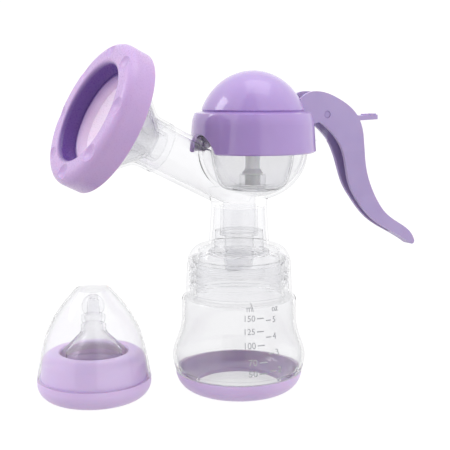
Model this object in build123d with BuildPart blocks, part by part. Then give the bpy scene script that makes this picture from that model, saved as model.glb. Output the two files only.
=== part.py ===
from build123d import *
import math
import os

# Manual breast pump with a feeding bottle and its teat set. Lengths are in millimetres, +Z is up.
# The origin is on the floor under the bottle, +X points to the handle and -X to the breast horn.

# bottle, a wide-neck one
belly_radius = 35.9
belly_height = 17.8
waist_radius = 30.9
waist_height = 41.0
shoulder_height = 51.4
shoulder_round = 2.6
bottle_wall = 1.7
foot_height = 2.4          # the round foot that shows through the base ring
neck_radius = 24.6
neck_length = 17.8

# the screw thread that the pump and the teat collar share
thread_pitch = 4.2
thread_depth = 1.5
thread_root_width = 1.8
thread_crest_width = 0.8
thread_turns = 2.75
thread_gap = 0.6           # radial, from a crest to the wall that it faces
thread_start = 5.2         # the bottle thread's lower end above the shoulder

# base ring
base_inset = 1.6           # its rim inside the bottle's belly
base_rim_height = 10.2
base_flare = 7.3           # from the foot out to the rim
base_ledge = 3.6           # width of the flat that it stands on
base_wall = 1.8

# pump body: skirt, neck and milk tube
skirt_gap = 1.8            # above the bottle's shoulder
skirt_wall = 2.0
skirt_taper = 0.8
seal_thickness = 1.9
seal_width = 2.2
neck_base_radius = 16.3
neck_top_radius = 14.9
neck_base_rise = 8.4       # above the skirt's ceiling
neck_height = 19.0
neck_flare = 2.3
neck_flare_height = 10.0
clear_wall = 1.6
milk_tube_radius = 10.0
milk_tube_wall = 1.4
milk_tube_end_rise = 5.5   # the tube's open end above the neck's base
vent_radius = 0.9
vent_drop = 2.0

# suction chamber, beside the bottle's axis
chamber_offset = 8.4
chamber_radius = 29.2
chamber_depth = 26.8       # of its rounded bowl
chamber_wall = 2.0
chamber_rise = 49.1        # the top of its bowl above the neck's base
rim_rise = 7.9             # its rim above the bowl
rim_flange = 1.8
rim_flange_height = 2.4

# arm and horn
arm_angle = 26.2
arm_radius = 12.9
arm_bore_radius = 10.6
arm_drop = 23.9            # where its axis meets the chamber's axis, below the bowl's top
arm_length = 61.1
bore_start = 6.0
spigot_radius = 12.0
spigot_length = 9.0
sleeve_length = 10.3
sleeve_flare_round = 12.0
horn_wall = 1.3
horn_cone_radius = 31.4
horn_reach = 31.8          # from the sleeve's end to the lip, along the arm
horn_lip = 2.2
lip_thickness = 1.6
fit_gap = 0.1

# massage cushion
cushion_wall = 1.8
cushion_tube_radius = 8.0
cushion_tube_start = 1.0
cushion_gap = 0.25
cushion_lip = 1.3
cushion_hook = 1.0
petal_count = 5
petal_half_length = 7.0
petal_half_width = 3.8
petal_reach = 17.5
petal_sink = 0.4

# horn cover
cover_gap = 0.6            # radial, over the cushion's rim
cover_wall = 1.7
cover_depth = 13.7
cover_head = 8.5           # its front face beyond the cushion
cover_edge_round = 5.2
cover_rim_width = 11.7     # from its side in to the round recess
recess_depth = 8.6
recess_edge_round = 2.6
recess_taper = 1.2
ledge_width = 1.8
ledge_edge_round = 0.9
recess_floor_depth = 13.2
recess_floor_taper = 1.8
dimple_count = 8
dimple_radius = 4.8
dimple_depth = 1.5
dimple_inset = 4.7         # from the cover's side to the ring of dimples
dimple_start_angle = 5.0

# domed cap
dome_bulge = 0.4           # the dome's widest place outside the chamber's wall
dome_height = 33.0
dome_rise = 1.1            # the dome's widest place above the chamber's rim
seam_rise = 13.8           # the seam between dome and band, above the rim
seam_step = 0.5
cap_wall = 1.9
cap_gap = 0.3
band_wall = 2.4
band_drop = 8.7            # its lower edge below the chamber's rim
band_shoulder = 1.9        # its rounded top edge, below the seam
band_taper = 1.2
press_thickness = 1.7
slot_margin = 0.7
slot_rise = 21.0           # the top of the handle's slot above the chamber's rim
slot_depth = 20.0          # how far the slot's inner end lies inside the cap's side
arch_margin = 2.6

# diaphragm and its rod
diaphragm_flange = 1.5
diaphragm_wall = 1.4
diaphragm_rim_gap = 3.2    # between its cup and the chamber's inner wall
diaphragm_waist_gap = 5.2
diaphragm_waist_drop = 11.5
diaphragm_floor_gap = 14.2
diaphragm_floor_lift = 3.9 # above the bottom of the bowl
diaphragm_bend = 7.0
boss_radius = 7.0
boss_height = 8.0
rod_radius = 3.85
rod_neck_radius = 3.0
rod_foot_radius = 4.0
rod_cone_radius = 5.6
rod_cone_height = 3.2
rod_bar_radius = 2.4

# duckbill valve
valve_collar_wall = 2.8
valve_disc_radius = 16.4
valve_disc_drop = 6.2
valve_disc_thickness = 1.6
valve_wall = 1.4
valve_lips_length = 9.0
valve_lips_half_width = 7.8
valve_lips_half_depth = 1.6

# handle
pivot_out = 15.4           # the pivot outside the chamber's wall
pivot_rise = 10.5          # and above the chamber's rim
rest_tilt = 10.0           # degrees that the short arm hangs below level at rest
pin_radius = 2.0
running_gap = 0.05
handle_half_width = 5.8
blade_half_width = 3.4
taper_top = -21.0          # the blade narrows between these heights, measured from the pivot
taper_bottom = -47.0
cheek = 1.8
web = 2.2
bar_play = 0.5
bar_slot_length = 2.0
short_arm_radius = 3.2
eye_wall = 2.5
bracket_half_width = 3.1

# stroke tab on the handle's back
tab_width = 6.8
tab_thickness = 2.6
tab_out = 22.5             # where it crosses the handle's back, from the pivot
tab_down = 2.5
tab_reach = 15.5           # outwards from there
tab_inner_length = 7.5
tab_slope = 2.0
tab_play = 0.3
tab_round = 1.6
tab_rib_count = 3
tab_rib_pitch = 2.6
tab_rib_width = 1.1
tab_rib_height = 0.7
tab_foot_height = 5.5
tab_foot_length = 2.4

# teat set, standing beside the bottle
teat_x = -74.4
teat_y = 24.5
collar_side_wall = 1.3
collar_flange = 2.0
collar_flange_height = 10.6
collar_flange_thickness = 1.6
collar_flare = 6.0
collar_height = 24.4
collar_brow_round = 6.0
collar_opening_radius = 18.0
collar_wall = 1.7
collar_thread_start = 5.0
teat_wall = 2.4
teat_gap = 1.2
teat_flange_width = 5.0
teat_flange_thickness = 1.6
teat_top = 54.0
cap_rise = 47.4            # the teat cap's flat top above the collar's flange
teat_cap_wall = 0.9
teat_cap_top_radius = 8.7

# --- places worked out from the sizes above
mouth_z = shoulder_height + neck_length
ceiling_z = mouth_z + seal_thickness
thread_wall_radius = neck_radius + thread_depth + thread_gap
thread_z = shoulder_height + thread_start
seal_middle = neck_radius - bottle_wall / 2
skirt_bottom_z = shoulder_height + skirt_gap
neck_base_z = ceiling_z + neck_base_rise
tube_end_z = neck_base_z + milk_tube_end_rise
chamber_z = neck_base_z + chamber_rise
inner_radius = chamber_radius - chamber_wall
inner_depth_z = chamber_z - chamber_depth + chamber_wall
rim_z = chamber_z + rim_rise
rim_radius = chamber_radius + rim_flange
flange_top_z = rim_z + diaphragm_flange
sleeve_radius = spigot_radius + fit_gap + horn_wall
pivot_reach = chamber_radius + pivot_out
pivot_x = chamber_offset + pivot_reach
pivot_z = rim_z + pivot_rise
tilt = math.radians(rest_tilt)
bar_z = pivot_z - pivot_reach * tilt
rod_stroke = 2 * pivot_reach * tilt

bottle_plane = Plane.XZ
chamber_plane = Plane(origin=(chamber_offset, 0, 0), x_dir=(1, 0, 0), z_dir=(0, -1, 0))
chamber_axis = Axis((chamber_offset, 0, 0), (0, 0, 1))
teat_plane = Plane(origin=(teat_x, teat_y, 0), x_dir=(1, 0, 0), z_dir=(0, -1, 0))
teat_axis = Axis((teat_x, teat_y, 0), (0, 0, 1))

arm_slope = math.radians(arm_angle)
arm_dir = Vector(-math.cos(arm_slope), 0, math.sin(arm_slope))
arm_up = Vector(math.sin(arm_slope), 0, math.cos(arm_slope))
arm_root = Vector(chamber_offset, 0, chamber_z - arm_drop)
sleeve_end = arm_root + arm_dir * arm_length
arm_section = Plane(origin=arm_root, x_dir=arm_up, z_dir=arm_dir)
horn_section = Plane(origin=sleeve_end, x_dir=arm_up, z_dir=arm_dir)
# local X is the horn's radius and local Y runs along its axis, outwards
horn_plane = Plane(origin=sleeve_end, x_dir=arm_up, z_dir=arm_up.cross(arm_dir))
horn_axis = Axis(sleeve_end, arm_dir)

os.makedirs("parts", exist_ok=True)


def finish_piece(builder, name):
    """Label a finished piece and write it."""
    builder.part.label = name
    export_step(builder.part, f"parts/{name}.step")


def outline(points, plane):
    """A closed straight-sided profile on a plane."""
    with BuildSketch(plane) as sketch:
        with BuildLine():
            Polyline(*points, close=True)
        make_face()
    return sketch.sketch


def helical_rib(root_radius, outward, start_z, axis_x=0.0, axis_y=0.0):
    """The thread's rib on a cylinder of root_radius, standing outwards or inwards."""
    side = 1 if outward else -1
    sink = 0.3
    with BuildPart() as rib:
        with BuildLine() as path:
            Helix(thread_pitch, thread_pitch * thread_turns, root_radius)
        start = path.line @ 0
        with BuildSketch(Plane(origin=start, x_dir=(1, 0, 0), z_dir=path.line % 0)):
            with BuildLine():
                Polyline(
                    (-side * sink, -thread_root_width / 2),
                    (side * thread_depth, -thread_crest_width / 2),
                    (side * thread_depth, thread_crest_width / 2),
                    (-side * sink, thread_root_width / 2),
                    close=True,
                )
            make_face()
        sweep(is_frenet=True)
    return Location((axis_x, axis_y, start_z)) * rib.part


# --- bottle
base_rim_radius = belly_radius - base_inset
base_foot_radius = base_rim_radius - base_flare
base_hole_radius = base_foot_radius - base_ledge
foot_radius = base_hole_radius - fit_gap
heel_radius = base_rim_radius - base_wall - fit_gap
heel_bulge = 1.6
with BuildPart() as bottle:
    with BuildSketch(bottle_plane):
        with BuildLine():
            foot = Polyline((0, 0), (foot_radius, 0), (foot_radius, foot_height))
            heel = SagittaArc(foot @ 1, (heel_radius, base_rim_height + fit_gap), -heel_bulge)
            step = Line(heel @ 1, (base_rim_radius, base_rim_height + fit_gap))
            belly = Spline(
                step @ 1,
                (belly_radius, belly_height),
                (waist_radius, waist_height),
                tangents=[(0.35, 1), (0, 1)],
            )
            side = Line(belly @ 1, (waist_radius, shoulder_height - shoulder_round))
            shoulder = RadiusArc(
                side @ 1, (waist_radius - shoulder_round, shoulder_height), -shoulder_round
            )
            Polyline(
                shoulder @ 1,
                (neck_radius, shoulder_height),
                (neck_radius, mouth_z),
                (0, mouth_z),
                foot @ 0,
            )
        make_face()
    revolve(axis=Axis.Z)
    offset(amount=-bottle_wall, openings=bottle.faces().sort_by(Axis.Z)[-1])
    add(helical_rib(neck_radius, True, thread_z))
finish_piece(bottle, "bottle")

# --- base ring, a shallow purple cup with a round window for the bottle's foot
with BuildPart() as bottle_base:
    with BuildSketch(bottle_plane):
        with BuildLine():
            underside = Line((base_hole_radius, 0), (base_foot_radius, 0))
            flare = SagittaArc(underside @ 1, (base_rim_radius, base_rim_height), -heel_bulge - 0.3)
            rim = Line(flare @ 1, (heel_radius + fit_gap, base_rim_height))
            inside = SagittaArc(rim @ 1, (base_hole_radius, foot_height - fit_gap), heel_bulge)
            Line(inside @ 1, underside @ 0)
        make_face()
    revolve(axis=Axis.Z)
finish_piece(bottle_base, "bottle_base")

# --- seal ring between the bottle's mouth and the skirt's ceiling
with BuildPart() as bottle_seal:
    with BuildSketch(Plane.XY.offset(mouth_z + fit_gap / 2)):
        Circle(seal_middle + seal_width / 2)
        Circle(seal_middle - seal_width / 2, mode=Mode.SUBTRACT)
    extrude(amount=seal_thickness - fit_gap)
    fillet(bottle_seal.edges().filter_by(GeomType.CIRCLE), radius=0.35)
finish_piece(bottle_seal, "bottle_seal")

# --- pump body, one clear moulding
skirt_radius = thread_wall_radius + skirt_wall
skirt_top_radius = skirt_radius - skirt_taper
neck_top_z = neck_base_z + neck_height
neck_ceiling_z = neck_top_z + 0.5
inner_depth = chamber_depth - chamber_wall
seal_room = seal_middle - seal_width / 2 - 1.0
with BuildPart() as pump_body:
    # skirt, its rounded crown and the neck, which flares into the chamber
    with BuildSketch(bottle_plane):
        with BuildLine():
            lip = Line((0, skirt_bottom_z), (skirt_radius, skirt_bottom_z))
            wall = Line(lip @ 1, (skirt_top_radius, ceiling_z - 3.0))
            crown = Spline(
                wall @ 1,
                (skirt_top_radius - 1.3, ceiling_z + 2.3),
                (skirt_top_radius - 3.7, ceiling_z + 5.6),
                (neck_base_radius, neck_base_z),
                tangents=[wall % 1, (-1, 0.25)],
            )
            neck = Line(crown @ 1, (neck_top_radius, neck_top_z))
            neck_end = (neck_top_radius + neck_flare, neck_top_z + neck_flare_height)
            blend = Spline(neck @ 1, neck_end, tangents=[neck % 1, (0.5, 1)])
            Polyline(blend @ 1, (0, neck_end[1]), lip @ 0)
        make_face()
    revolve(axis=Axis.Z)
    # chamber: a bowl with a straight wall and a flange that the diaphragm lies on
    with BuildSketch(chamber_plane):
        with BuildLine():
            bowl = EllipticalCenterArc(
                (0, chamber_z), chamber_radius, chamber_depth, start_angle=-90, arc_size=90
            )
            Polyline(
                bowl @ 1,
                (chamber_radius, rim_z - rim_flange_height),
                (rim_radius, rim_z - rim_flange_height),
                (rim_radius, rim_z),
                (0, rim_z),
                bowl @ 0,
            )
        make_face()
    revolve(axis=chamber_axis)
    # arm and the spigot that carries the horn
    with BuildSketch(arm_section):
        Circle(arm_radius)
    extrude(amount=arm_length)
    with BuildSketch(horn_section):
        Circle(spigot_radius)
    extrude(amount=spigot_length)
    # inside of the skirt, crown and neck
    inner_profile = [
        (0, skirt_bottom_z),
        (thread_wall_radius, skirt_bottom_z),
        (thread_wall_radius, ceiling_z - 1.0),
        (thread_wall_radius - 1.0, ceiling_z),
        (seal_room, ceiling_z),
        (seal_room, ceiling_z + 4.4),
        (neck_base_radius + 1.2, neck_base_z - 2.2),
        (neck_base_radius - clear_wall, neck_base_z - 0.8),
        (neck_top_radius - clear_wall, neck_top_z),
        (neck_top_radius - clear_wall, neck_ceiling_z),
        (0, neck_ceiling_z),
    ]
    revolve(outline(inner_profile, bottle_plane), axis=Axis.Z, mode=Mode.SUBTRACT)
    # milk tube down the middle of the neck
    with BuildSketch(Plane.XY.offset(tube_end_z)):
        Circle(milk_tube_radius)
    extrude(amount=neck_top_z + 1.0 - tube_end_z)
    # hollows of the chamber, the arm and the milk tube
    with BuildSketch(chamber_plane):
        with BuildLine():
            hollow = EllipticalCenterArc(
                (0, chamber_z), inner_radius, inner_depth, start_angle=-90, arc_size=90
            )
            Polyline(hollow @ 1, (inner_radius, rim_z), (0, rim_z), hollow @ 0)
        make_face()
    revolve(axis=chamber_axis, mode=Mode.SUBTRACT)
    with BuildSketch(arm_section.offset(bore_start)):
        Circle(arm_bore_radius)
    extrude(amount=arm_length + spigot_length, mode=Mode.SUBTRACT)
    with BuildSketch(Plane.XY.offset(tube_end_z)):
        Circle(milk_tube_radius - milk_tube_wall)
    extrude(amount=chamber_z - 0.75 * inner_depth - tube_end_z, mode=Mode.SUBTRACT)
    # small vent hole near the top of the neck
    with BuildSketch(Plane(origin=(0, 0, neck_top_z - vent_drop), x_dir=(0, 0, 1), z_dir=(-0.25, -0.97, 0))):
        Circle(vent_radius)
    extrude(amount=neck_base_radius, mode=Mode.SUBTRACT)
    # bracket that carries the handle's pivot, with a rounded tongue under it
    bracket_root_x = chamber_offset + chamber_radius - chamber_wall / 2
    with BuildSketch(Plane.XZ):
        with BuildLine():
            Polyline(
                (bracket_root_x, rim_z - 9.5),
                (pivot_x - 4.5, pivot_z - 14.0),
                (pivot_x + 1.5, pivot_z - 14.8),
                (pivot_x + 4.6, pivot_z - 1.0),
                (pivot_x + 3.0, pivot_z + 3.6),
                (pivot_x - 3.4, pivot_z + 3.8),
                (chamber_offset + rim_radius + 1.5, rim_z),
                (bracket_root_x, rim_z),
                close=True,
            )
        make_face()
    extrude(amount=bracket_half_width, both=True)
    with BuildSketch(Plane.XZ):
        with Locations((pivot_x, pivot_z)):
            Circle(pin_radius)
    extrude(amount=bracket_half_width + 1, both=True, mode=Mode.SUBTRACT)
    add(helical_rib(thread_wall_radius, False, thread_z - thread_pitch / 2))
finish_piece(pump_body, "pump_body")


# --- horn: a clear funnel whose sleeve slides over the arm's spigot
cone_slope = (horn_cone_radius - sleeve_radius) / (horn_reach - sleeve_length)
cone_stretch = math.hypot(1, cone_slope)
bore_r = spigot_radius + fit_gap
lip_r = horn_cone_radius + horn_lip
lip_front = horn_reach + lip_thickness


def cone_radius(reach, depth):
    """Radius of the cone at a distance along the horn's axis, a depth inside its outer face."""
    return sleeve_radius + (reach - sleeve_length) * cone_slope - depth * cone_stretch


def cone_reach(radius, depth):
    """Distance along the horn's axis where the cone has this radius."""
    return sleeve_length + (radius + depth * cone_stretch - sleeve_radius) / cone_slope


with BuildPart() as horn:
    with BuildSketch(horn_plane) as horn_profile:
        with BuildLine():
            Polyline(
                (sleeve_radius, 0),
                (sleeve_radius, sleeve_length),
                (horn_cone_radius, horn_reach),
                (lip_r, horn_reach),
                (lip_r, lip_front),
                (cone_radius(lip_front, horn_wall), lip_front),
                (bore_r, cone_reach(bore_r, horn_wall)),
                (bore_r, 0),
                close=True,
            )
        make_face()
        corners = horn_profile.vertices()
        fillet(corners.sort_by_distance((sleeve_radius, sleeve_length))[0], radius=sleeve_flare_round)
    revolve(axis=horn_axis)
finish_piece(horn, "horn")

# --- massage cushion: a silicone liner that hooks over the horn's lip and ends in a short tube
liner_depth = horn_wall + cushion_gap
inner_depth = liner_depth + cushion_wall
tube_inner_r = cushion_tube_radius - cushion_wall
seat_reach = lip_front + fit_gap
liner_front = seat_reach + cushion_lip
wrap_r = lip_r + fit_gap
wrap_outer_r = wrap_r + cushion_lip
hook_front = horn_reach - fit_gap
petal_centre_r = cone_radius(petal_reach, inner_depth - petal_sink)
petal_root_depth = liner_depth + cushion_wall / 2
with BuildPart() as petals:
    for number in range(petal_count):
        turn = 2 * math.pi * number / petal_count
        spoke = arm_up * math.cos(turn) + Vector(0, math.sin(turn), 0)
        centre = sleeve_end + arm_dir * petal_reach + spoke * petal_centre_r
        lengthwise = (spoke * cone_slope + arm_dir).normalized()
        with BuildSketch(Plane(origin=centre, x_dir=lengthwise, z_dir=lengthwise.cross(spoke))):
            with BuildLine():
                arc = EllipticalCenterArc((0, 0), petal_half_length, petal_half_width, arc_size=180)
                Line(arc @ 1, arc @ 0)
            make_face()
        revolve(axis=Axis(centre, lengthwise))
    liner_inside = [
        (0, 5.0),
        (cone_radius(5.0, petal_root_depth), 5.0),
        (cone_radius(lip_front, petal_root_depth), lip_front),
        (0, lip_front),
    ]
    revolve(outline(liner_inside, horn_plane), axis=horn_axis, mode=Mode.INTERSECT)
with BuildPart() as massage_cushion:
    with BuildSketch(horn_plane):
        with BuildLine():
            Polyline(
                (cushion_tube_radius, cushion_tube_start),
                (cushion_tube_radius, cone_reach(cushion_tube_radius, liner_depth)),
                (cone_radius(seat_reach, liner_depth), seat_reach),
                (wrap_r, seat_reach),
                (wrap_r, hook_front),
                (horn_cone_radius + fit_gap + 0.5, hook_front),
                (horn_cone_radius + fit_gap + 0.5, hook_front - cushion_hook),
                (wrap_outer_r, hook_front - cushion_hook),
                (wrap_outer_r, liner_front - 0.6),
                (wrap_outer_r - 0.6, liner_front),
                (cone_radius(liner_front, inner_depth), liner_front),
                (tube_inner_r, cone_reach(tube_inner_r, inner_depth)),
                (tube_inner_r, cushion_tube_start),
                close=True,
            )
        make_face()
    revolve(axis=horn_axis)
    add(petals.part)
finish_piece(massage_cushion, "massage_cushion")

# --- horn cover: a purple lid with a stepped round recess and a dimpled rim
wall_radius = wrap_outer_r + cover_gap
cover_radius = wall_radius + cover_wall
cover_front = liner_front + cover_head
cover_back = cover_front - cover_depth
ledge_reach = cover_front - recess_depth
floor_reach = cover_front - recess_floor_depth
recess_radius = cover_radius - cover_rim_width
ledge_radius = recess_radius - recess_taper - ledge_width
floor_radius = ledge_radius - recess_floor_taper
with BuildPart() as horn_cover:
    with BuildSketch(horn_plane) as cover_profile:
        with BuildLine():
            Polyline(
                (cover_radius, cover_back),
                (cover_radius, cover_front),
                (recess_radius, cover_front),
                (recess_radius - recess_taper, ledge_reach),
                (ledge_radius, ledge_reach),
                (floor_radius, floor_reach),
                (0, floor_reach),
                (0, floor_reach - cover_wall),
                (floor_radius + cover_wall, floor_reach - cover_wall),
                (ledge_radius + cover_wall - 0.6, ledge_reach - cover_wall),
                (recess_radius - recess_taper + cover_wall, ledge_reach - cover_wall),
                (recess_radius + cover_wall, cover_front - cover_wall),
                (cover_radius - cover_edge_round, cover_front - cover_wall),
                (wall_radius, cover_front - cover_edge_round),
                (wall_radius, cover_back),
                close=True,
            )
        make_face()
        for corner, rounding in [
            ((cover_radius, cover_front), cover_edge_round),
            ((recess_radius, cover_front), recess_edge_round),
            ((ledge_radius, ledge_reach), ledge_edge_round),
        ]:
            fillet(cover_profile.vertices().sort_by_distance(corner)[0], radius=rounding)
    revolve(axis=horn_axis)
    ball_radius = (dimple_radius**2 + dimple_depth**2) / (2 * dimple_depth)
    with Locations(horn_section.offset(cover_front - dimple_depth + ball_radius)):
        with PolarLocations(cover_radius - dimple_inset, dimple_count, start_angle=dimple_start_angle):
            Sphere(ball_radius, mode=Mode.SUBTRACT)
finish_piece(horn_cover, "horn_cover")

# --- diaphragm: a deep silicone cup clamped at the chamber's rim
cup_radius = inner_radius - diaphragm_rim_gap
waist_radius_low = inner_radius - diaphragm_waist_gap
waist_z = rim_z - diaphragm_waist_drop
floor_z = inner_depth_z + diaphragm_floor_lift
cup_floor_radius = inner_radius - diaphragm_floor_gap
flange_radius = rim_radius - 0.6
bend_point = (waist_radius_low - 2.2, floor_z + diaphragm_bend)
boss_z = floor_z + boss_height
foot_z = floor_z + diaphragm_wall + 1.0
with BuildPart() as diaphragm:
    with BuildSketch(chamber_plane):
        with BuildLine():
            below = Line((0, floor_z), (cup_floor_radius, floor_z))
            bend = Spline(
                below @ 1, bend_point, (waist_radius_low, waist_z), tangents=[(1, 0.1), (0.1, 1)]
            )
            rise = Polyline(
                bend @ 1,
                (cup_radius, rim_z - 1.5),
                (cup_radius, rim_z),
                (flange_radius, rim_z),
                (flange_radius, flange_top_z),
                (cup_radius - diaphragm_wall, flange_top_z),
                (cup_radius - diaphragm_wall, rim_z - 1.5),
                (waist_radius_low - diaphragm_wall, waist_z),
            )
            inner_bend = Spline(
                rise @ 1,
                (bend_point[0] - diaphragm_wall, bend_point[1] + 0.6),
                (cup_floor_radius - 0.4, floor_z + diaphragm_wall),
                tangents=[(-0.1, -1), (-1, -0.1)],
            )
            Polyline(inner_bend @ 1, (0, floor_z + diaphragm_wall), below @ 0)
        make_face()
    revolve(axis=chamber_axis)
    with BuildSketch(Plane(origin=(chamber_offset, 0, floor_z))):
        Circle(boss_radius)
    extrude(amount=boss_height)
    with BuildSketch(Plane(origin=(chamber_offset, 0, foot_z))):
        Circle(rod_foot_radius + fit_gap)
    extrude(amount=boss_height, mode=Mode.SUBTRACT)
finish_piece(diaphragm, "diaphragm")

# --- pull rod, with a cross bar at its head that the handle's short arm lifts
cone_z = boss_z + fit_gap
eye_radius = rod_bar_radius + bar_play + eye_wall
head_z = bar_z + rod_bar_radius + 1.5
with BuildPart() as pull_rod:
    with BuildSketch(chamber_plane):
        with BuildLine():
            Polyline(
                (0, foot_z + fit_gap),
                (rod_foot_radius, foot_z + fit_gap),
                (rod_foot_radius, cone_z),
                (rod_cone_radius, cone_z),
                (rod_cone_radius, cone_z + 0.8),
                (rod_radius, cone_z + rod_cone_height),
                (rod_radius, bar_z - eye_radius - 3.0),
                (rod_neck_radius, bar_z - eye_radius - 1.5),
                (rod_neck_radius, head_z),
                (0, head_z),
                close=True,
            )
        make_face()
    revolve(axis=chamber_axis)
    with BuildSketch(Plane.XZ):
        with Locations((chamber_offset, bar_z)):
            Circle(rod_bar_radius)
    extrude(amount=handle_half_width, both=True)
finish_piece(pull_rod, "pull_rod")

# --- duckbill valve pushed over the milk tube's end
grip_radius = milk_tube_radius + valve_collar_wall
disc_z = neck_base_z - valve_disc_drop
disc_top_z = disc_z + valve_disc_thickness
valve_radius = milk_tube_radius - 1.0
throat_radius = valve_radius - valve_wall
with BuildPart() as duckbill_valve:
    valve_profile = [
        (milk_tube_radius + fit_gap, tube_end_z + 1.2),
        (grip_radius, tube_end_z + 1.2),
        (grip_radius + 0.6, disc_top_z),
        (valve_disc_radius, disc_top_z),
        (valve_disc_radius, disc_z),
        (throat_radius, disc_z),
        (throat_radius, tube_end_z - 1.2),
        (milk_tube_radius + fit_gap, tube_end_z - 1.2),
    ]
    revolve(outline(valve_profile, bottle_plane), axis=Axis.Z)
    with BuildSketch(Plane.XY.offset(disc_z)):
        Circle(valve_radius)
    with BuildSketch(Plane.XY.offset(disc_z - valve_lips_length)):
        Ellipse(valve_lips_half_width, valve_lips_half_depth)
    loft()
    with BuildSketch(Plane.XY.offset(disc_z + 0.1)):
        Circle(throat_radius)
    with BuildSketch(Plane.XY.offset(disc_z - valve_lips_length - 0.1)):
        Ellipse(valve_lips_half_width - 1.2, valve_lips_half_depth - 1.3)
    loft(mode=Mode.SUBTRACT)
finish_piece(duckbill_valve, "duckbill_valve")

# --- domed cap with a band; an arch clears the arm and a slot lets the handle through
dome_width = chamber_radius + dome_bulge
dome_z = rim_z + dome_rise
seam_z = rim_z + seam_rise
band_bottom_z = rim_z - band_drop
band_top_z = seam_z - band_shoulder
cavity_radius = rim_radius + cap_gap
band_radius = cavity_radius + band_wall
inner_width = dome_width - cap_wall
inner_height = dome_height - cap_wall
press_radius = inner_width + press_thickness
seam_angle = math.degrees(math.asin((seam_z - dome_z) / dome_height))
press_angle = math.degrees(math.asin((flange_top_z - dome_z) / inner_height))
with BuildPart() as dome_cap:
    with BuildSketch(chamber_plane):
        with BuildLine():
            dome = EllipticalCenterArc(
                (0, dome_z), dome_width, dome_height, start_angle=seam_angle, arc_size=90 - seam_angle
            )
            seam = dome @ 0
            groove = Polyline(
                seam,
                (seam.X - seam_step, seam.Y - 0.8),
                (band_radius - band_taper - 1.6, band_top_z),
            )
            brow = Spline(
                groove @ 1,
                (band_radius - band_taper - 0.7, band_top_z - 2.2),
                (band_radius - band_taper, band_top_z - 5.4),
            )
            flank = Polyline(
                brow @ 1,
                (band_radius, band_bottom_z + 0.8),
                (band_radius - 0.8, band_bottom_z),
                (cavity_radius, band_bottom_z),
                (cavity_radius, rim_z + cap_gap),
                (cavity_radius - 0.7, flange_top_z + cap_gap),
                (cavity_radius - 1.5, band_top_z - 5.0),
                (press_radius, band_top_z - 2.6),
                (press_radius, flange_top_z),
            )
            lining = EllipticalCenterArc(
                (0, dome_z), inner_width, inner_height, start_angle=press_angle, arc_size=90 - press_angle
            )
            Line(flank @ 1, lining @ 0)
            Line(lining @ 1, dome @ 1)
        make_face()
    revolve(axis=chamber_axis)
    with BuildSketch(arm_section.offset(10)):
        Circle(arm_radius + arch_margin)
    extrude(amount=arm_length, mode=Mode.SUBTRACT)
    slot_start = chamber_offset + band_radius - slot_depth
    with BuildSketch(Plane.XY.offset(band_bottom_z)):
        with Locations((slot_start + slot_depth, 0)):
            Rectangle(2 * slot_depth, 2 * (handle_half_width + slot_margin))
    extrude(amount=rim_z + slot_rise - band_bottom_z, mode=Mode.SUBTRACT)
finish_piece(dome_cap, "dome_cap")

# --- handle: a forked short arm, a nose with two cheeks and a curved lever, open towards the bottle
# outlines run from the nose to the tip, measured from the pivot
back_points = [
    (-18.0, 8.5), (-10.6, 12.4), (-0.9, 11.8), (9.1, 7.9), (20.2, -0.1), (24.6, -8.5), (26.2, -19.2),
    (30.5, -36.1), (36.8, -47.6), (44.4, -57.3), (55.7, -64.7), (64.0, -70.4), (67.2, -75.2),
]
front_points = [
    (64.8, -77.6), (50.5, -69.5), (34.9, -60.5), (24.0, -49.3), (17.4, -39.2), (13.8, -28.0),
    (10.5, -19.1), (6.2, -12.9), (-0.5, -6.8), (-7.2, -2.7), (-16.0, 1.2),
]
tip_middle = (66.9, -77.4)
arm_end = (-pivot_reach, bar_z - pivot_z)
short_arm_turn = math.degrees(math.atan2(pivot_z - bar_z, pivot_reach))
far = 120.0                # past every end of the handle
pivot_plane = Plane(origin=(pivot_x, 0, pivot_z), x_dir=(1, 0, 0), z_dir=(0, -1, 0))
back_curve = Spline(*back_points)
slope_radians = math.radians(tab_slope)
tab_plane = Plane(
    origin=(pivot_x + tab_out, 0, pivot_z - tab_down),
    x_dir=(math.cos(slope_radians), 0, math.sin(slope_radians)),
    z_dir=(-math.sin(slope_radians), 0, math.cos(slope_radians)),
)


def web_inside(fraction):
    """A point on the web's inner face, a web's thickness inside the back curve."""
    along = back_curve % fraction
    return back_curve @ fraction + Vector(along.Y, -along.X) * web


def front_view(wide, narrow):
    """The handle's width, seen along X: wide above taper_top and narrow below taper_bottom."""
    right = [(narrow, -far), (narrow, taper_bottom), (wide, taper_top), (wide, far)]
    left = [(-half, height) for half, height in reversed(right)]
    points = [(half, pivot_z + height) for half, height in right + left]
    return outline(points, Plane.YZ.offset(pivot_x - far))


with BuildPart() as channel:
    with BuildSketch(pivot_plane):
        with BuildLine():
            inner_face = Spline(*[web_inside(0.27 + 0.06 * number) for number in range(11)])
            low = inner_face @ 1
            Polyline(
                low,
                (low.X - 20, low.Y - 20),
                (-far, low.Y - 20),
                (-far, far),
                ((inner_face @ 0).X, far),
                inner_face @ 0,
            )
        make_face()
    extrude(amount=handle_half_width - cheek, both=True)
    inner_view = front_view(handle_half_width - cheek, blade_half_width - cheek)
    extrude(inner_view, amount=2 * far, mode=Mode.INTERSECT)

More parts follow.
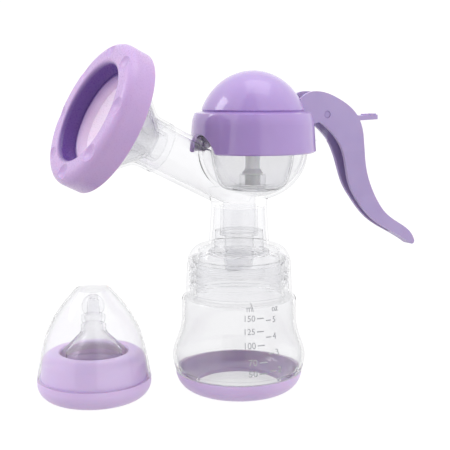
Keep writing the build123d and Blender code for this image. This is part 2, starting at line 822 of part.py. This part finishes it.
with BuildPart() as handle:
    with BuildSketch(pivot_plane):
        with BuildLine():
            back = Spline(*back_points)
            ThreePointArc(back @ 1, tip_middle, front_points[0])
            front = Spline(*front_points)
            Line(front @ 1, back @ 0)
        make_face()
    extrude(amount=handle_half_width, both=True)
    extrude(front_view(handle_half_width, blade_half_width), amount=2 * far, mode=Mode.INTERSECT)
    with BuildSketch(pivot_plane):
        Circle(short_arm_radius)
        with Locations(arm_end):
            Circle(short_arm_radius)
        make_hull()
        with Locations(arm_end):
            Circle(eye_radius)
    extrude(amount=handle_half_width, both=True)
    add(channel.part, mode=Mode.SUBTRACT)
    with BuildSketch(pivot_plane):
        Circle(pin_radius + running_gap)
        with Locations(Location(arm_end, short_arm_turn)):
            SlotCenterToCenter(bar_slot_length, 2 * (rod_bar_radius + bar_play))
    extrude(amount=handle_half_width + 1, both=True, mode=Mode.SUBTRACT)
    with BuildSketch(tab_plane):
        Rectangle(2 * tab_inner_length, tab_width + 2 * tab_play)
    extrude(amount=tab_thickness / 2 + tab_play, both=True, mode=Mode.SUBTRACT)
finish_piece(handle, "handle")

# --- pivot pin, pressed into the bracket and running in the cheeks
with BuildPart() as pivot_pin:
    with BuildSketch(pivot_plane):
        Circle(pin_radius)
    extrude(amount=handle_half_width - 0.2, both=True)
    chamfer(pivot_pin.edges().filter_by(GeomType.CIRCLE), length=0.3)
finish_piece(pivot_pin, "pivot_pin")

# --- stroke tab, pushed in by a thumb to shorten the handle's stroke
with BuildPart() as stroke_tab:
    with BuildSketch(tab_plane):
        with Locations(((tab_reach - tab_inner_length) / 2, 0)):
            RectangleRounded(tab_reach + tab_inner_length, tab_width, tab_round)
    extrude(amount=tab_thickness / 2, both=True)
    with BuildSketch(tab_plane.offset(-tab_foot_height)):
        with Locations((tab_foot_length / 2 - tab_inner_length, 0)):
            Rectangle(tab_foot_length, tab_width - 1.0)
    extrude(amount=tab_foot_height)
    with BuildSketch(tab_plane.offset(tab_thickness / 2)):
        for number in range(tab_rib_count):
            with Locations((tab_reach - 2.2 - number * tab_rib_pitch, 0)):
                Rectangle(tab_rib_width, tab_width - 0.8)
    extrude(amount=tab_rib_height)
finish_piece(stroke_tab, "stroke_tab")

# --- teat collar, with the same thread as the pump
collar_radius = thread_wall_radius + collar_side_wall
collar_flange_radius = collar_radius + collar_flange
collar_ceiling_z = collar_height - collar_wall
brow_z = collar_height - collar_brow_round
brow_radius = collar_radius - 0.6
with BuildPart() as teat_collar:
    with BuildSketch(teat_plane):
        with BuildLine():
            sole = Line((thread_wall_radius - 3.0, 0), (collar_flange_radius - collar_flare, 0))
            flare_top = (collar_flange_radius, collar_flange_height - collar_flange_thickness)
            flare = SagittaArc(sole @ 1, flare_top, -1.9)
            wall = Polyline(
                flare @ 1,
                (collar_flange_radius, collar_flange_height),
                (collar_radius, collar_flange_height),
                (brow_radius, brow_z),
            )
            brow_end = (brow_radius - collar_brow_round, collar_height)
            brow = RadiusArc(wall @ 1, brow_end, -collar_brow_round)
            Polyline(
                brow @ 1,
                (collar_opening_radius + 0.6, collar_height),
                (collar_opening_radius, collar_height - 0.6),
                (collar_opening_radius, collar_ceiling_z),
                (thread_wall_radius - 3.5, collar_ceiling_z),
                (thread_wall_radius, collar_ceiling_z - 3.5),
                (thread_wall_radius, 3.0),
                sole @ 0,
            )
        make_face()
    revolve(axis=teat_axis)
    add(helical_rib(thread_wall_radius, False, collar_thread_start, teat_x, teat_y))
finish_piece(teat_collar, "teat_collar")

# --- teat: a silicone cone with a stepped neck, held under the collar's ceiling
root_radius = collar_opening_radius - teat_gap
seat_z = collar_ceiling_z - fit_gap
teat_flange_z = seat_z - teat_flange_thickness
ball_radius = 5.9
# the neck and the ball, as radius and depth below the teat's top
teat_outside = [
    (7.6, 20.5), (6.4, 18.0), (6.6, 15.6), (5.4, 14.8), (6.2, 13.6), (6.2, 10.6), (4.6, 9.6),
]
teat_inside = [
    (1.2, 0.4), (1.2, 2.0), (3.0, 2.2), (3.2, 9.8), (4.6, 11.2), (4.0, 14.6), (4.9, 16.0), (5.0, 19.0),
]
with BuildPart() as teat:
    with BuildSketch(teat_plane):
        with BuildLine():
            skin = Polyline(
                (root_radius + teat_flange_width, teat_flange_z),
                (root_radius + teat_flange_width, seat_z),
                (root_radius, seat_z),
                (root_radius - 0.4, collar_height + 0.4),
                *[(radius, teat_top - depth) for radius, depth in teat_outside],
            )
            bulb = ThreePointArc(skin @ 1, (ball_radius, teat_top - ball_radius + 0.5), (2.6, teat_top))
            Polyline(
                bulb @ 1,
                *[(radius, teat_top - depth) for radius, depth in teat_inside],
                (root_radius - teat_wall, collar_height - 0.6),
                (root_radius - teat_wall, teat_flange_z),
                skin @ 0,
            )
        make_face()
    revolve(axis=teat_axis)
finish_piece(teat, "teat")

# --- teat cap, a clear dome that sits on the collar's flange
cap_seat_z = collar_flange_height + fit_gap
cap_top_z = collar_flange_height + cap_rise
# shares of the flange's radius and of the cap's height
cap_shape = [(0.958, 0.15), (0.903, 0.32), (0.81, 0.52), (0.67, 0.7), (0.48, 0.867), (0.317, 0.985)]
with BuildPart() as teat_cap:
    with BuildSketch(teat_plane):
        with BuildLine():
            outside = Spline(
                (collar_flange_radius - fit_gap, cap_seat_z),
                *[(wide * collar_flange_radius, collar_flange_height + high * cap_rise)
                  for wide, high in cap_shape],
            )
            Polyline(
                outside @ 1,
                (teat_cap_top_radius, cap_top_z),
                (0, cap_top_z),
                (0, cap_seat_z),
                outside @ 0,
            )
        make_face()
    revolve(axis=teat_axis)
    offset(amount=-teat_cap_wall, openings=teat_cap.faces().sort_by(Axis.Z)[0])
finish_piece(teat_cap, "teat_cap")
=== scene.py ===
import math

import bmesh
import bpy
from mathutils import Matrix, Vector
from mathutils.bvhtree import BVHTree


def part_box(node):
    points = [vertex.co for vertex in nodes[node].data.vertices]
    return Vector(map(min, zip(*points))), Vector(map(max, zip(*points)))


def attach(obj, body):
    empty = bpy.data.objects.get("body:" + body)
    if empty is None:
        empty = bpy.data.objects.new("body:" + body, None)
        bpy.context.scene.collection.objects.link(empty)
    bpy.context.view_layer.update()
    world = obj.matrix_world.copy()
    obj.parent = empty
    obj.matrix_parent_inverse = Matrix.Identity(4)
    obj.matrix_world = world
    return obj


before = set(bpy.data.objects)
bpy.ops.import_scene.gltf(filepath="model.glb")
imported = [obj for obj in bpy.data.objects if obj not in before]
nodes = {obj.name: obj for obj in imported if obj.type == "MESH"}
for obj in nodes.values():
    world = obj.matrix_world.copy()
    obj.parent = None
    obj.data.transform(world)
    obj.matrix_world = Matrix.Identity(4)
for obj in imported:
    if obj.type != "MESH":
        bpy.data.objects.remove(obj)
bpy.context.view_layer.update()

print("frame loaded:", len(nodes), "nodes")


def addNode(tree, kind, at=(0, 0), **values):
    node = tree.nodes.new(kind)
    node.location = at
    for name, value in values.items():
        setattr(node, name, value)
    return node


def makeGroup(name, inputs, outputs):
    group = bpy.data.node_groups.new(name, "ShaderNodeTree")
    for label, kind, value in inputs:
        socket = group.interface.new_socket(name=label, in_out="INPUT", socket_type=kind)
        if value is not None:
            socket.default_value = value
    for label, kind in outputs:
        group.interface.new_socket(name=label, in_out="OUTPUT", socket_type=kind)
    return group, addNode(group, "NodeGroupInput", (-900, 0)), addNode(group, "NodeGroupOutput", (900, 0))


# moulded plastic: faint flow clouding in the colour, fine mould texture in the gloss and the bump
def buildMouldedGroup():
    group, start, end = makeGroup(
        "mouldedPlastic",
        [
            ("Base", "NodeSocketColor", (0.5, 0.4, 0.7, 1)),
            ("Shade", "NodeSocketColor", (0.4, 0.3, 0.6, 1)),
            ("Cloud Size", "NodeSocketFloat", 40.0),
            ("Grain Size", "NodeSocketFloat", 1800.0),
            ("Roughness Low", "NodeSocketFloat", 0.2),
            ("Roughness High", "NodeSocketFloat", 0.3),
            ("Bump", "NodeSocketFloat", 0.05),
        ],
        [("Color", "NodeSocketColor"), ("Roughness", "NodeSocketFloat"), ("Normal", "NodeSocketVector")],
    )
    coords = addNode(group, "ShaderNodeTexCoord", (-900, -300))
    cloud = addNode(group, "ShaderNodeTexNoise", (-600, 200))
    cloud.inputs["Detail"].default_value = 3.0
    grain = addNode(group, "ShaderNodeTexNoise", (-600, -200))
    grain.inputs["Detail"].default_value = 2.0
    group.links.new(coords.outputs["Object"], cloud.inputs["Vector"])
    group.links.new(coords.outputs["Object"], grain.inputs["Vector"])
    group.links.new(start.outputs["Cloud Size"], cloud.inputs["Scale"])
    group.links.new(start.outputs["Grain Size"], grain.inputs["Scale"])
    mixColor = addNode(group, "ShaderNodeMix", (0, 200), data_type="RGBA")
    spread = addNode(group, "ShaderNodeMapRange", (-300, 200))
    spread.inputs["From Min"].default_value = 0.35
    spread.inputs["From Max"].default_value = 0.65
    group.links.new(cloud.outputs["Fac"], spread.inputs["Value"])
    group.links.new(spread.outputs["Result"], mixColor.inputs["Factor"])
    group.links.new(start.outputs["Shade"], mixColor.inputs["A"])
    group.links.new(start.outputs["Base"], mixColor.inputs["B"])
    gloss = addNode(group, "ShaderNodeMapRange", (0, -100))
    group.links.new(grain.outputs["Fac"], gloss.inputs["Value"])
    group.links.new(start.outputs["Roughness Low"], gloss.inputs["To Min"])
    group.links.new(start.outputs["Roughness High"], gloss.inputs["To Max"])
    bump = addNode(group, "ShaderNodeBump", (300, -300))
    bump.inputs["Distance"].default_value = 0.0002
    group.links.new(grain.outputs["Fac"], bump.inputs["Height"])
    group.links.new(start.outputs["Bump"], bump.inputs["Strength"])
    group.links.new(mixColor.outputs["Result"], end.inputs["Color"])
    group.links.new(gloss.outputs["Result"], end.inputs["Roughness"])
    group.links.new(bump.outputs["Normal"], end.inputs["Normal"])
    return group


def srgb(red, green, blue):
    def linear(value):
        value = value / 255
        return value / 12.92 if value <= 0.04045 else ((value + 0.055) / 1.055) ** 2.4
    return (linear(red), linear(green), linear(blue), 1.0)


mouldedGroup = buildMouldedGroup()


def mouldedMaterial(name, look):
    material = bpy.data.materials.new(name)
    material.use_nodes = True
    tree = material.node_tree
    shader = tree.nodes["Principled BSDF"]
    group = addNode(tree, "ShaderNodeGroup", (-400, 0), node_tree=mouldedGroup)
    for label, value in look["group"].items():
        group.inputs[label].default_value = value
    tree.links.new(group.outputs["Color"], shader.inputs["Base Color"])
    tree.links.new(group.outputs["Roughness"], shader.inputs["Roughness"])
    tree.links.new(group.outputs["Normal"], shader.inputs["Normal"])
    for label, value in look["shader"].items():
        shader.inputs[label].default_value = value
    return material


def addFrost(tree, rough, frost):
    # a band of frosted wall between two heights
    place = addNode(tree, "ShaderNodeTexCoord", (-900, -500))
    split = addNode(tree, "ShaderNodeSeparateXYZ", (-700, -500))
    tree.links.new(place.outputs["Object"], split.inputs["Vector"])
    fade = addNode(tree, "ShaderNodeMapRange", (-500, -500), interpolation_type="SMOOTHSTEP")
    fade.inputs["From Min"].default_value = frost["top"] + frost["fade"]
    fade.inputs["From Max"].default_value = frost["top"]
    tree.links.new(split.outputs["Z"], fade.inputs["Value"])
    blend = addNode(tree, "ShaderNodeMix", (-300, -500), data_type="FLOAT")
    blend.inputs["B"].default_value = frost["roughness"]
    tree.links.new(fade.outputs["Result"], blend.inputs["Factor"])
    tree.links.new(rough, blend.inputs["A"])
    return blend.outputs["Result"]


def clearMaterial(name, look):
    material = bpy.data.materials.new(name)
    material.use_nodes = True
    tree = material.node_tree
    shader = tree.nodes["Principled BSDF"]
    for label, value in look["shader"].items():
        shader.inputs[label].default_value = value
    group = addNode(tree, "ShaderNodeGroup", (-700, -200), node_tree=mouldedGroup)
    for label, value in look["group"].items():
        group.inputs[label].default_value = value
    # painted shade: the colour is darkened towards an edge colour where the wall is seen along its
    # length, standing in for the clear wall's dark outlines
    facing = addNode(tree, "ShaderNodeLayerWeight", (-700, 200))
    facing.inputs["Blend"].default_value = look["edgeShadeBlend"]
    curve = addNode(tree, "ShaderNodeMath", (-500, 200), operation="POWER")
    curve.inputs[1].default_value = look["edgeShadePower"]
    paintedEdgeShade = addNode(tree, "ShaderNodeMix", (-300, 200), data_type="RGBA")
    paintedEdgeShade.inputs["B"].default_value = look["edge"]
    tree.links.new(facing.outputs["Facing"], curve.inputs[0])
    tree.links.new(curve.outputs[0], paintedEdgeShade.inputs["Factor"])
    tree.links.new(group.outputs["Color"], paintedEdgeShade.inputs["A"])
    tree.links.new(paintedEdgeShade.outputs["Result"], shader.inputs["Base Color"])
    rough = group.outputs["Roughness"]
    if "frost" in look:
        rough = addFrost(tree, rough, look["frost"])
    tree.links.new(rough, shader.inputs["Roughness"])
    tree.links.new(group.outputs["Normal"], shader.inputs["Normal"])
    return material


capLook = {
    "group": {
        "Base": srgb(176, 147, 210), "Shade": srgb(171, 141, 206), "Cloud Size": 30.0,
        "Grain Size": 900.0, "Roughness Low": 0.26, "Roughness High": 0.32, "Bump": 0.02,
    },
    "shader": {"IOR": 1.46, "Coat Weight": 0.8, "Coat Roughness": 0.05, "Subsurface Weight": 0.1,
               "Subsurface Scale": 0.004},
}
handleLook = {
    "group": {
        "Base": srgb(184, 166, 212), "Shade": srgb(177, 158, 207), "Cloud Size": 35.0,
        "Grain Size": 2200.0, "Roughness Low": 0.34, "Roughness High": 0.44, "Bump": 0.12,
    },
    "shader": {"IOR": 1.46, "Subsurface Weight": 0.12, "Subsurface Scale": 0.003},
}
baseLook = {
    "group": {
        "Base": srgb(222, 198, 240), "Shade": srgb(216, 191, 236), "Cloud Size": 35.0,
        "Grain Size": 1800.0, "Roughness Low": 0.28, "Roughness High": 0.38, "Bump": 0.08,
    },
    "shader": {"IOR": 1.46, "Subsurface Weight": 0.2, "Subsurface Scale": 0.003},
}
coverLook = {
    "group": {
        "Base": srgb(198, 167, 216), "Shade": srgb(191, 160, 211), "Cloud Size": 35.0,
        "Grain Size": 1800.0, "Roughness Low": 0.24, "Roughness High": 0.32, "Bump": 0.06,
    },
    "shader": {"IOR": 1.46, "Subsurface Weight": 0.2, "Subsurface Scale": 0.003},
    # painted light and shade on the cover: the first colour below is painted light on the recess floor,
    # the second painted shade on the recess wall
    "paintedLight": srgb(252, 234, 255),
    "wall": srgb(104, 74, 146),
    "paintedLightRadius": 0.0200,
    "paintedLightFade": 0.004,
    "paintedShadeRadius": 0.0246,
    "paintedShadeWidth": 0.0030,
}
rodLook = {
    "group": {
        "Base": srgb(248, 248, 249), "Shade": srgb(243, 243, 245), "Cloud Size": 60.0,
        "Grain Size": 2000.0, "Roughness Low": 0.35, "Roughness High": 0.45, "Bump": 0.08,
    },
    "shader": {"IOR": 1.46, "Subsurface Weight": 0.2, "Subsurface Scale": 0.002},
}
pinLook = {
    "group": {
        "Base": srgb(174, 156, 205), "Shade": srgb(167, 148, 200), "Cloud Size": 60.0,
        "Grain Size": 2000.0, "Roughness Low": 0.3, "Roughness High": 0.4, "Bump": 0.08,
    },
    "shader": {"IOR": 1.46},
}
markLook = {
    "group": {
        "Base": srgb(186, 187, 191), "Shade": srgb(180, 181, 186), "Cloud Size": 80.0,
        "Grain Size": 3000.0, "Roughness Low": 0.4, "Roughness High": 0.5, "Bump": 0.05,
    },
    "shader": {"IOR": 1.46},
}
bodyLook = {
    "group": {
        "Base": srgb(250, 250, 251), "Shade": srgb(248, 248, 249), "Cloud Size": 25.0,
        "Grain Size": 300.0, "Roughness Low": 0.02, "Roughness High": 0.05, "Bump": 0.004,
    },
    # edge is a painted shade colour for the outlines of the clear wall
    "edge": srgb(150, 151, 155), "edgeShadeBlend": 0.5, "edgeShadePower": 6.0,
    "shader": {"IOR": 1.015, "Transmission Weight": 1.0, "Coat Weight": 0.6, "Coat Roughness": 0.03},
    "frost": {"top": 0.0715, "fade": 0.002, "roughness": 0.16},
}
bottleLook = {
    "group": {
        "Base": srgb(245, 245, 246), "Shade": srgb(242, 242, 243), "Cloud Size": 20.0,
        "Grain Size": 260.0, "Roughness Low": 0.03, "Roughness High": 0.07, "Bump": 0.006,
    },
    # edge is a painted shade colour for the outlines of the clear wall
    "edge": srgb(120, 121, 126), "edgeShadeBlend": 0.5, "edgeShadePower": 6.0,
    "shader": {"IOR": 1.03, "Transmission Weight": 1.0, "Coat Weight": 0.6, "Coat Roughness": 0.03},
}
siliconeLook = {
    "group": {
        "Base": srgb(254, 254, 254), "Shade": srgb(250, 250, 252), "Cloud Size": 40.0,
        "Grain Size": 700.0, "Roughness Low": 0.16, "Roughness High": 0.26, "Bump": 0.02,
    },
    # edge is a painted shade colour for the outlines of the clear wall
    "edge": srgb(150, 151, 157), "edgeShadeBlend": 0.5, "edgeShadePower": 5.0,
    "shader": {"IOR": 1.03, "Transmission Weight": 0.93, "Coat Weight": 0.5, "Coat Roughness": 0.08},
}

# the horn's axis, which the cover's disc stands square to
armSlope = math.radians(26.2)
armDir = Vector((-math.cos(armSlope), 0, math.sin(armSlope)))


def ringMask(tree, radius, middle, width, falling=False):
    # 1 on a ring of this radius, or everywhere inside it when falling
    fade = addNode(tree, "ShaderNodeMapRange", (-700, 500), interpolation_type="SMOOTHSTEP")
    if falling:
        fade.inputs["From Min"].default_value = middle + width
        fade.inputs["From Max"].default_value = middle
        tree.links.new(radius, fade.inputs["Value"])
        return fade.outputs["Result"]
    away = addNode(tree, "ShaderNodeMath", (-900, 500), operation="SUBTRACT")
    away.inputs[1].default_value = middle
    size = addNode(tree, "ShaderNodeMath", (-800, 500), operation="ABSOLUTE")
    tree.links.new(radius, away.inputs[0])
    tree.links.new(away.outputs[0], size.inputs[0])
    fade.inputs["From Min"].default_value = width
    fade.inputs["From Max"].default_value = 0.2 * width
    tree.links.new(size.outputs[0], fade.inputs["Value"])
    return fade.outputs["Result"]


def coverWithPaintedLightAndShade(name, look):
    # painted light and shade: a paler painted-light dish on the recess floor inside a darker
    # painted-shade ring on the recess wall, both measured from the cover's axis
    material = mouldedMaterial(name, look)
    tree = material.node_tree
    shader = tree.nodes["Principled BSDF"]
    plain = shader.inputs["Base Color"].links[0].from_socket
    low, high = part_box("horn_cover")
    middle = (low + high) / 2
    place = addNode(tree, "ShaderNodeTexCoord", (-1500, 500))
    offset = addNode(tree, "ShaderNodeVectorMath", (-1300, 500), operation="SUBTRACT")
    offset.inputs[1].default_value = middle
    side = addNode(tree, "ShaderNodeVectorMath", (-1100, 500), operation="CROSS_PRODUCT")
    side.inputs[1].default_value = armDir
    length = addNode(tree, "ShaderNodeVectorMath", (-1000, 500), operation="LENGTH")
    tree.links.new(place.outputs["Object"], offset.inputs[0])
    tree.links.new(offset.outputs["Vector"], side.inputs[0])
    tree.links.new(side.outputs["Vector"], length.inputs[0])
    radius = length.outputs["Value"]
    # painted light: inside the dish radius the colour is painted paler, as if the recess floor were lit
    paintedLight = addNode(tree, "ShaderNodeMix", (-400, 500), data_type="RGBA")
    paintedLight.inputs["B"].default_value = look["paintedLight"]
    paintedLightMask = ringMask(tree, radius, look["paintedLightRadius"], look["paintedLightFade"], falling=True)
    tree.links.new(paintedLightMask, paintedLight.inputs["Factor"])
    tree.links.new(plain, paintedLight.inputs["A"])
    # painted shade: a darker ring on the recess wall stands in for the shade in the recess
    wall = addNode(tree, "ShaderNodeMix", (-200, 500), data_type="RGBA")
    wall.inputs["B"].default_value = look["wall"]
    paintedShadeMask = ringMask(tree, radius, look["paintedShadeRadius"], look["paintedShadeWidth"])
    tree.links.new(paintedShadeMask, wall.inputs["Factor"])
    tree.links.new(paintedLight.outputs["Result"], wall.inputs["A"])
    tree.links.new(wall.outputs["Result"], shader.inputs["Base Color"])
    return material


capPurple = mouldedMaterial("capPurple", capLook)
handlePurple = mouldedMaterial("handlePurple", handleLook)
basePurple = mouldedMaterial("basePurple", baseLook)
coverPurple = coverWithPaintedLightAndShade("coverPurple", coverLook)
rodWhite = mouldedMaterial("rodWhite", rodLook)
pinPurple = mouldedMaterial("pinPurple", pinLook)
markGrey = mouldedMaterial("markGrey", markLook)
bodyClear = clearMaterial("bodyClear", bodyLook)
bottleClear = clearMaterial("bottleClear", bottleLook)
siliconeClear = clearMaterial("siliconeClear", siliconeLook)

finishes = {
    "dome_cap": capPurple, "handle": handlePurple, "bottle_base": basePurple, "teat_collar": basePurple,
    "horn_cover": coverPurple, "pull_rod": rodWhite, "stroke_tab": handlePurple, "pivot_pin": pinPurple,
    "pump_body": bodyClear, "horn": bodyClear, "teat_cap": bodyClear, "bottle": bottleClear,
    "bottle_seal": siliconeClear, "massage_cushion": siliconeClear, "diaphragm": siliconeClear,
    "duckbill_valve": siliconeClear, "teat": siliconeClear,
}
for nodeName, material in finishes.items():
    nodes[nodeName].data.materials.clear()
    nodes[nodeName].data.materials.append(material)
print("materials made:", len(bpy.data.materials))


# scale marks on the bottle, raised a little from its wall
scaleMarks = {
    "dashAngle": 260.0,
    "millilitres": [("150", 0.0449), ("125", 0.0380), ("100", 0.0310), ("70", 0.0228), ("50", 0.0171)],
    "ounces": [("5", 0.0435), ("4", 0.0348), ("3", 0.0267), ("2", 0.0180)],
    "textSize": 0.00459,
    "raise": 0.00018,
    "sink": 0.00006,
    "wrapRadius": 0.033,
    "rayStart": 0.08,
    "barThickness": 0.00055,
    "millilitreBar": 0.0040,
    "millilitreText": -5.0,
    "millilitreUnit": (-6.0, 0.0052),
    "ounceBar": 0.0030,
    "ounceBarTurn": 8.5,
    "ounceText": 13.0,
    "ounceUnit": (12.0, 0.0058),
}


def bottleWall():
    shape = bmesh.new()
    shape.from_mesh(nodes["bottle"].data)
    wall = BVHTree.FromBMesh(shape)
    shape.free()
    return wall


def wrapOnBottle(shape, wall, angle, height):
    # x runs round the bottle, y up it and z out of its wall
    for vertex in shape.verts:
        across, up, out = vertex.co
        turn = math.radians(angle) + across / scaleMarks["wrapRadius"]
        outward = Vector((math.cos(turn), math.sin(turn), 0))
        start = outward * scaleMarks["rayStart"] + Vector((0, 0, height + up))
        hit = wall.ray_cast(start, -outward)[0]
        vertex.co = hit + outward * out


def letters(text, align):
    curve = bpy.data.curves.new("letters", "FONT")
    curve.body = text
    curve.size = scaleMarks["textSize"]
    curve.align_x = align
    curve.align_y = "CENTER"
    curve.extrude = 0.5 * (scaleMarks["raise"] + scaleMarks["sink"])
    curve.resolution_u = 3
    holder = bpy.data.objects.new("letters", curve)
    mesh = bpy.data.meshes.new_from_object(holder)
    bpy.data.objects.remove(holder)
    shape = bmesh.new()
    shape.from_mesh(mesh)
    bmesh.ops.translate(
        shape, verts=shape.verts, vec=(0, 0, 0.5 * (scaleMarks["raise"] - scaleMarks["sink"]))
    )
    return shape


def bar(width):
    shape = bmesh.new()
    bmesh.ops.create_cube(shape, size=1.0)
    depth = scaleMarks["raise"] + scaleMarks["sink"]
    bmesh.ops.scale(shape, verts=shape.verts, vec=(width, scaleMarks["barThickness"], depth))
    bmesh.ops.translate(
        shape, verts=shape.verts, vec=(0, 0, 0.5 * (scaleMarks["raise"] - scaleMarks["sink"]))
    )
    bmesh.ops.subdivide_edges(shape, edges=shape.edges, cuts=3, use_grid_fill=True)
    return shape


def buildScaleMarks():
    wall = bottleWall()
    dash = scaleMarks["dashAngle"]
    whole = bmesh.new()

    def place(shape, angle, height):
        wrapOnBottle(shape, wall, angle, height)
        mesh = bpy.data.meshes.new("mark")
        shape.to_mesh(mesh)
        shape.free()
        whole.from_mesh(mesh)
        bpy.data.meshes.remove(mesh)

    for text, height in scaleMarks["millilitres"]:
        place(letters(text, "RIGHT"), dash + scaleMarks["millilitreText"], height)
        place(bar(scaleMarks["millilitreBar"]), dash, height)
    turn, rise = scaleMarks["millilitreUnit"]
    place(letters("ml", "RIGHT"), dash + turn, scaleMarks["millilitres"][0][1] + rise)
    for text, height in scaleMarks["ounces"]:
        place(letters(text, "LEFT"), dash + scaleMarks["ounceText"], height)
        place(bar(scaleMarks["ounceBar"]), dash + scaleMarks["ounceBarTurn"], height)
    turn, rise = scaleMarks["ounceUnit"]
    place(letters("oz", "LEFT"), dash + turn, scaleMarks["ounces"][0][1] + rise)
    mesh = bpy.data.meshes.new("scale_marks")
    whole.to_mesh(mesh)
    whole.free()
    mesh.materials.append(markGrey)
    marks = bpy.data.objects.new("scale_marks", mesh)
    bpy.context.scene.collection.objects.link(marks)
    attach(marks, "bottle")
    print("scale marks:", len(mesh.polygons), "faces")


buildScaleMarks()


def buildStage():
    # a sheet of paper that curves up behind the object
    sweepLook = {
        "front": -1.2, "bendStart": 0.75, "radius": 0.6, "wall": 1.6, "halfWidth": 2.6, "steps": 24,
        "floor": -0.0002, "turn": -30.0, "glow": 0.94, "bounce": 0.45,
    }
    shape = bmesh.new()
    edge = shape.verts.new((-sweepLook["halfWidth"], sweepLook["front"], sweepLook["floor"]))
    far = shape.verts.new((-sweepLook["halfWidth"], sweepLook["bendStart"], sweepLook["floor"]))
    shape.edges.new((edge, far))
    bmesh.ops.spin(
        shape, geom=[far], cent=(0, sweepLook["bendStart"], sweepLook["radius"]), axis=(1, 0, 0),
        dvec=(0, 0, 0), angle=math.radians(90), steps=sweepLook["steps"],
    )
    shape.verts.ensure_lookup_table()
    top = max(shape.verts, key=lambda vertex: vertex.co.z)
    grown = bmesh.ops.extrude_vert_indiv(shape, verts=[top])["verts"]
    bmesh.ops.translate(shape, verts=grown, vec=(0, 0, sweepLook["wall"]))
    across = bmesh.ops.extrude_edge_only(shape, edges=shape.edges[:])["geom"]
    moved = [item for item in across if isinstance(item, bmesh.types.BMVert)]
    bmesh.ops.translate(shape, verts=moved, vec=(2 * sweepLook["halfWidth"], 0, 0))
    bmesh.ops.remove_doubles(shape, verts=shape.verts, dist=0.0001)
    bmesh.ops.recalc_face_normals(shape, faces=shape.faces)
    for face in shape.faces:
        face.smooth = True
    mesh = bpy.data.meshes.new("paper_sweep")
    shape.to_mesh(mesh)
    shape.free()
    sweep = bpy.data.objects.new("paper_sweep", mesh)
    # the camera looks towards the left of +Y, so the sweep is turned to face it
    mesh.transform(Matrix.Rotation(math.radians(sweepLook["turn"]), 4, "Z"))
    bpy.context.scene.collection.objects.link(sweep)
    paper = bpy.data.materials.new("paper")
    paper.use_nodes = True
    tree = paper.node_tree
    shader = tree.nodes["Principled BSDF"]
    shader.inputs["Base Color"].default_value = (0.10, 0.10, 0.10, 1)
    shader.inputs["Roughness"].default_value = 0.9
    shader.inputs["Emission Color"].default_value = (1, 1, 1, 1)
    # the paper shows white but lights the object less than it shows
    path = addNode(tree, "ShaderNodeLightPath", (-600, -300))
    glow = addNode(tree, "ShaderNodeMapRange", (-300, -300))
    glow.inputs["To Min"].default_value = sweepLook["glow"]
    glow.inputs["To Max"].default_value = sweepLook["bounce"]
    tree.links.new(path.outputs["Is Diffuse Ray"], glow.inputs["Value"])
    tree.links.new(glow.outputs["Result"], shader.inputs["Emission Strength"])
    mesh.materials.append(paper)


def addArea(name, at, target, size, power):
    light = bpy.data.lights.new(name, "AREA")
    light.shape = "RECTANGLE"
    light.size, light.size_y = size
    light.energy = power
    holder = bpy.data.objects.new(name, light)
    holder.location = at
    holder.rotation_euler = (Vector(target) - Vector(at)).to_track_quat("-Z", "Y").to_euler()
    bpy.context.scene.collection.objects.link(holder)


def buildLight():
    world = bpy.data.worlds.new("studio")
    bpy.context.scene.world = world
    world.use_nodes = True
    # a white room with one darker side, which the dome and the band mirror in their middle
    room = {
        "gapSide": (-0.643, -0.766, 0.0), "gapInner": 0.945, "gapOuter": 0.90, "gap": 0.35,
        "wall": 1.0, "strength": 1.28, "aim": (0, 0, 0.11),
    }
    tree = world.node_tree
    back = tree.nodes["Background"]
    back.inputs["Strength"].default_value = room["strength"]
    place = addNode(tree, "ShaderNodeTexCoord", (-1200, 0))
    level = addNode(tree, "ShaderNodeVectorMath", (-1000, 0), operation="MULTIPLY")
    level.inputs[1].default_value = (1, 1, 0)
    unit = addNode(tree, "ShaderNodeVectorMath", (-800, 0), operation="NORMALIZE")
    towards = addNode(tree, "ShaderNodeVectorMath", (-600, 0), operation="DOT_PRODUCT")
    towards.inputs[1].default_value = Vector(room["gapSide"]).normalized()
    shade = addNode(tree, "ShaderNodeMapRange", (-400, 0), interpolation_type="SMOOTHSTEP")
    shade.inputs["From Min"].default_value = room["gapOuter"]
    shade.inputs["From Max"].default_value = room["gapInner"]
    shade.inputs["To Min"].default_value = room["wall"]
    shade.inputs["To Max"].default_value = room["gap"]
    tree.links.new(place.outputs["Generated"], level.inputs[0])
    tree.links.new(level.outputs["Vector"], unit.inputs[0])
    tree.links.new(unit.outputs["Vector"], towards.inputs[0])
    tree.links.new(towards.outputs["Value"], shade.inputs["Value"])
    # beyond the paper's edges the room shows plain white
    path = addNode(tree, "ShaderNodeLightPath", (-400, 300))
    plain = addNode(tree, "ShaderNodeMix", (-200, 100), data_type="FLOAT")
    plain.inputs["B"].default_value = room["wall"]
    tree.links.new(path.outputs["Is Camera Ray"], plain.inputs["Factor"])
    tree.links.new(shade.outputs["Result"], plain.inputs["A"])
    tree.links.new(plain.outputs["Result"], back.inputs["Color"])
    addArea("key", (-0.60, 0.35, 0.65), room["aim"], (0.30, 0.30), 1.2)
    addArea("top", (0.10, -0.05, 0.90), room["aim"], (0.50, 0.50), 1.0)


def buildCamera():
    settings = {
        "location": (-0.250, -0.418, 0.1614),
        "azimuth": -30.0,
        "down": 8.47,
        "lens": 73.6,
        "sensor": 36.0,
    }
    camera = bpy.data.cameras.new("camera")
    camera.lens = settings["lens"]
    camera.sensor_width = settings["sensor"]
    camera.dof.use_dof = False
    holder = bpy.data.objects.new("camera", camera)
    holder.location = settings["location"]
    turn = Matrix.Rotation(math.radians(settings["azimuth"]), 4, "Z")
    tilt = Matrix.Rotation(math.radians(90 - settings["down"]), 4, "X")
    holder.rotation_euler = (turn @ tilt).to_euler()
    bpy.context.scene.collection.objects.link(holder)
    bpy.context.scene.camera = holder


buildStage()
buildLight()
buildCamera()
bpy.context.scene.view_settings.view_transform = "Standard"
print("stage, lights and camera made")
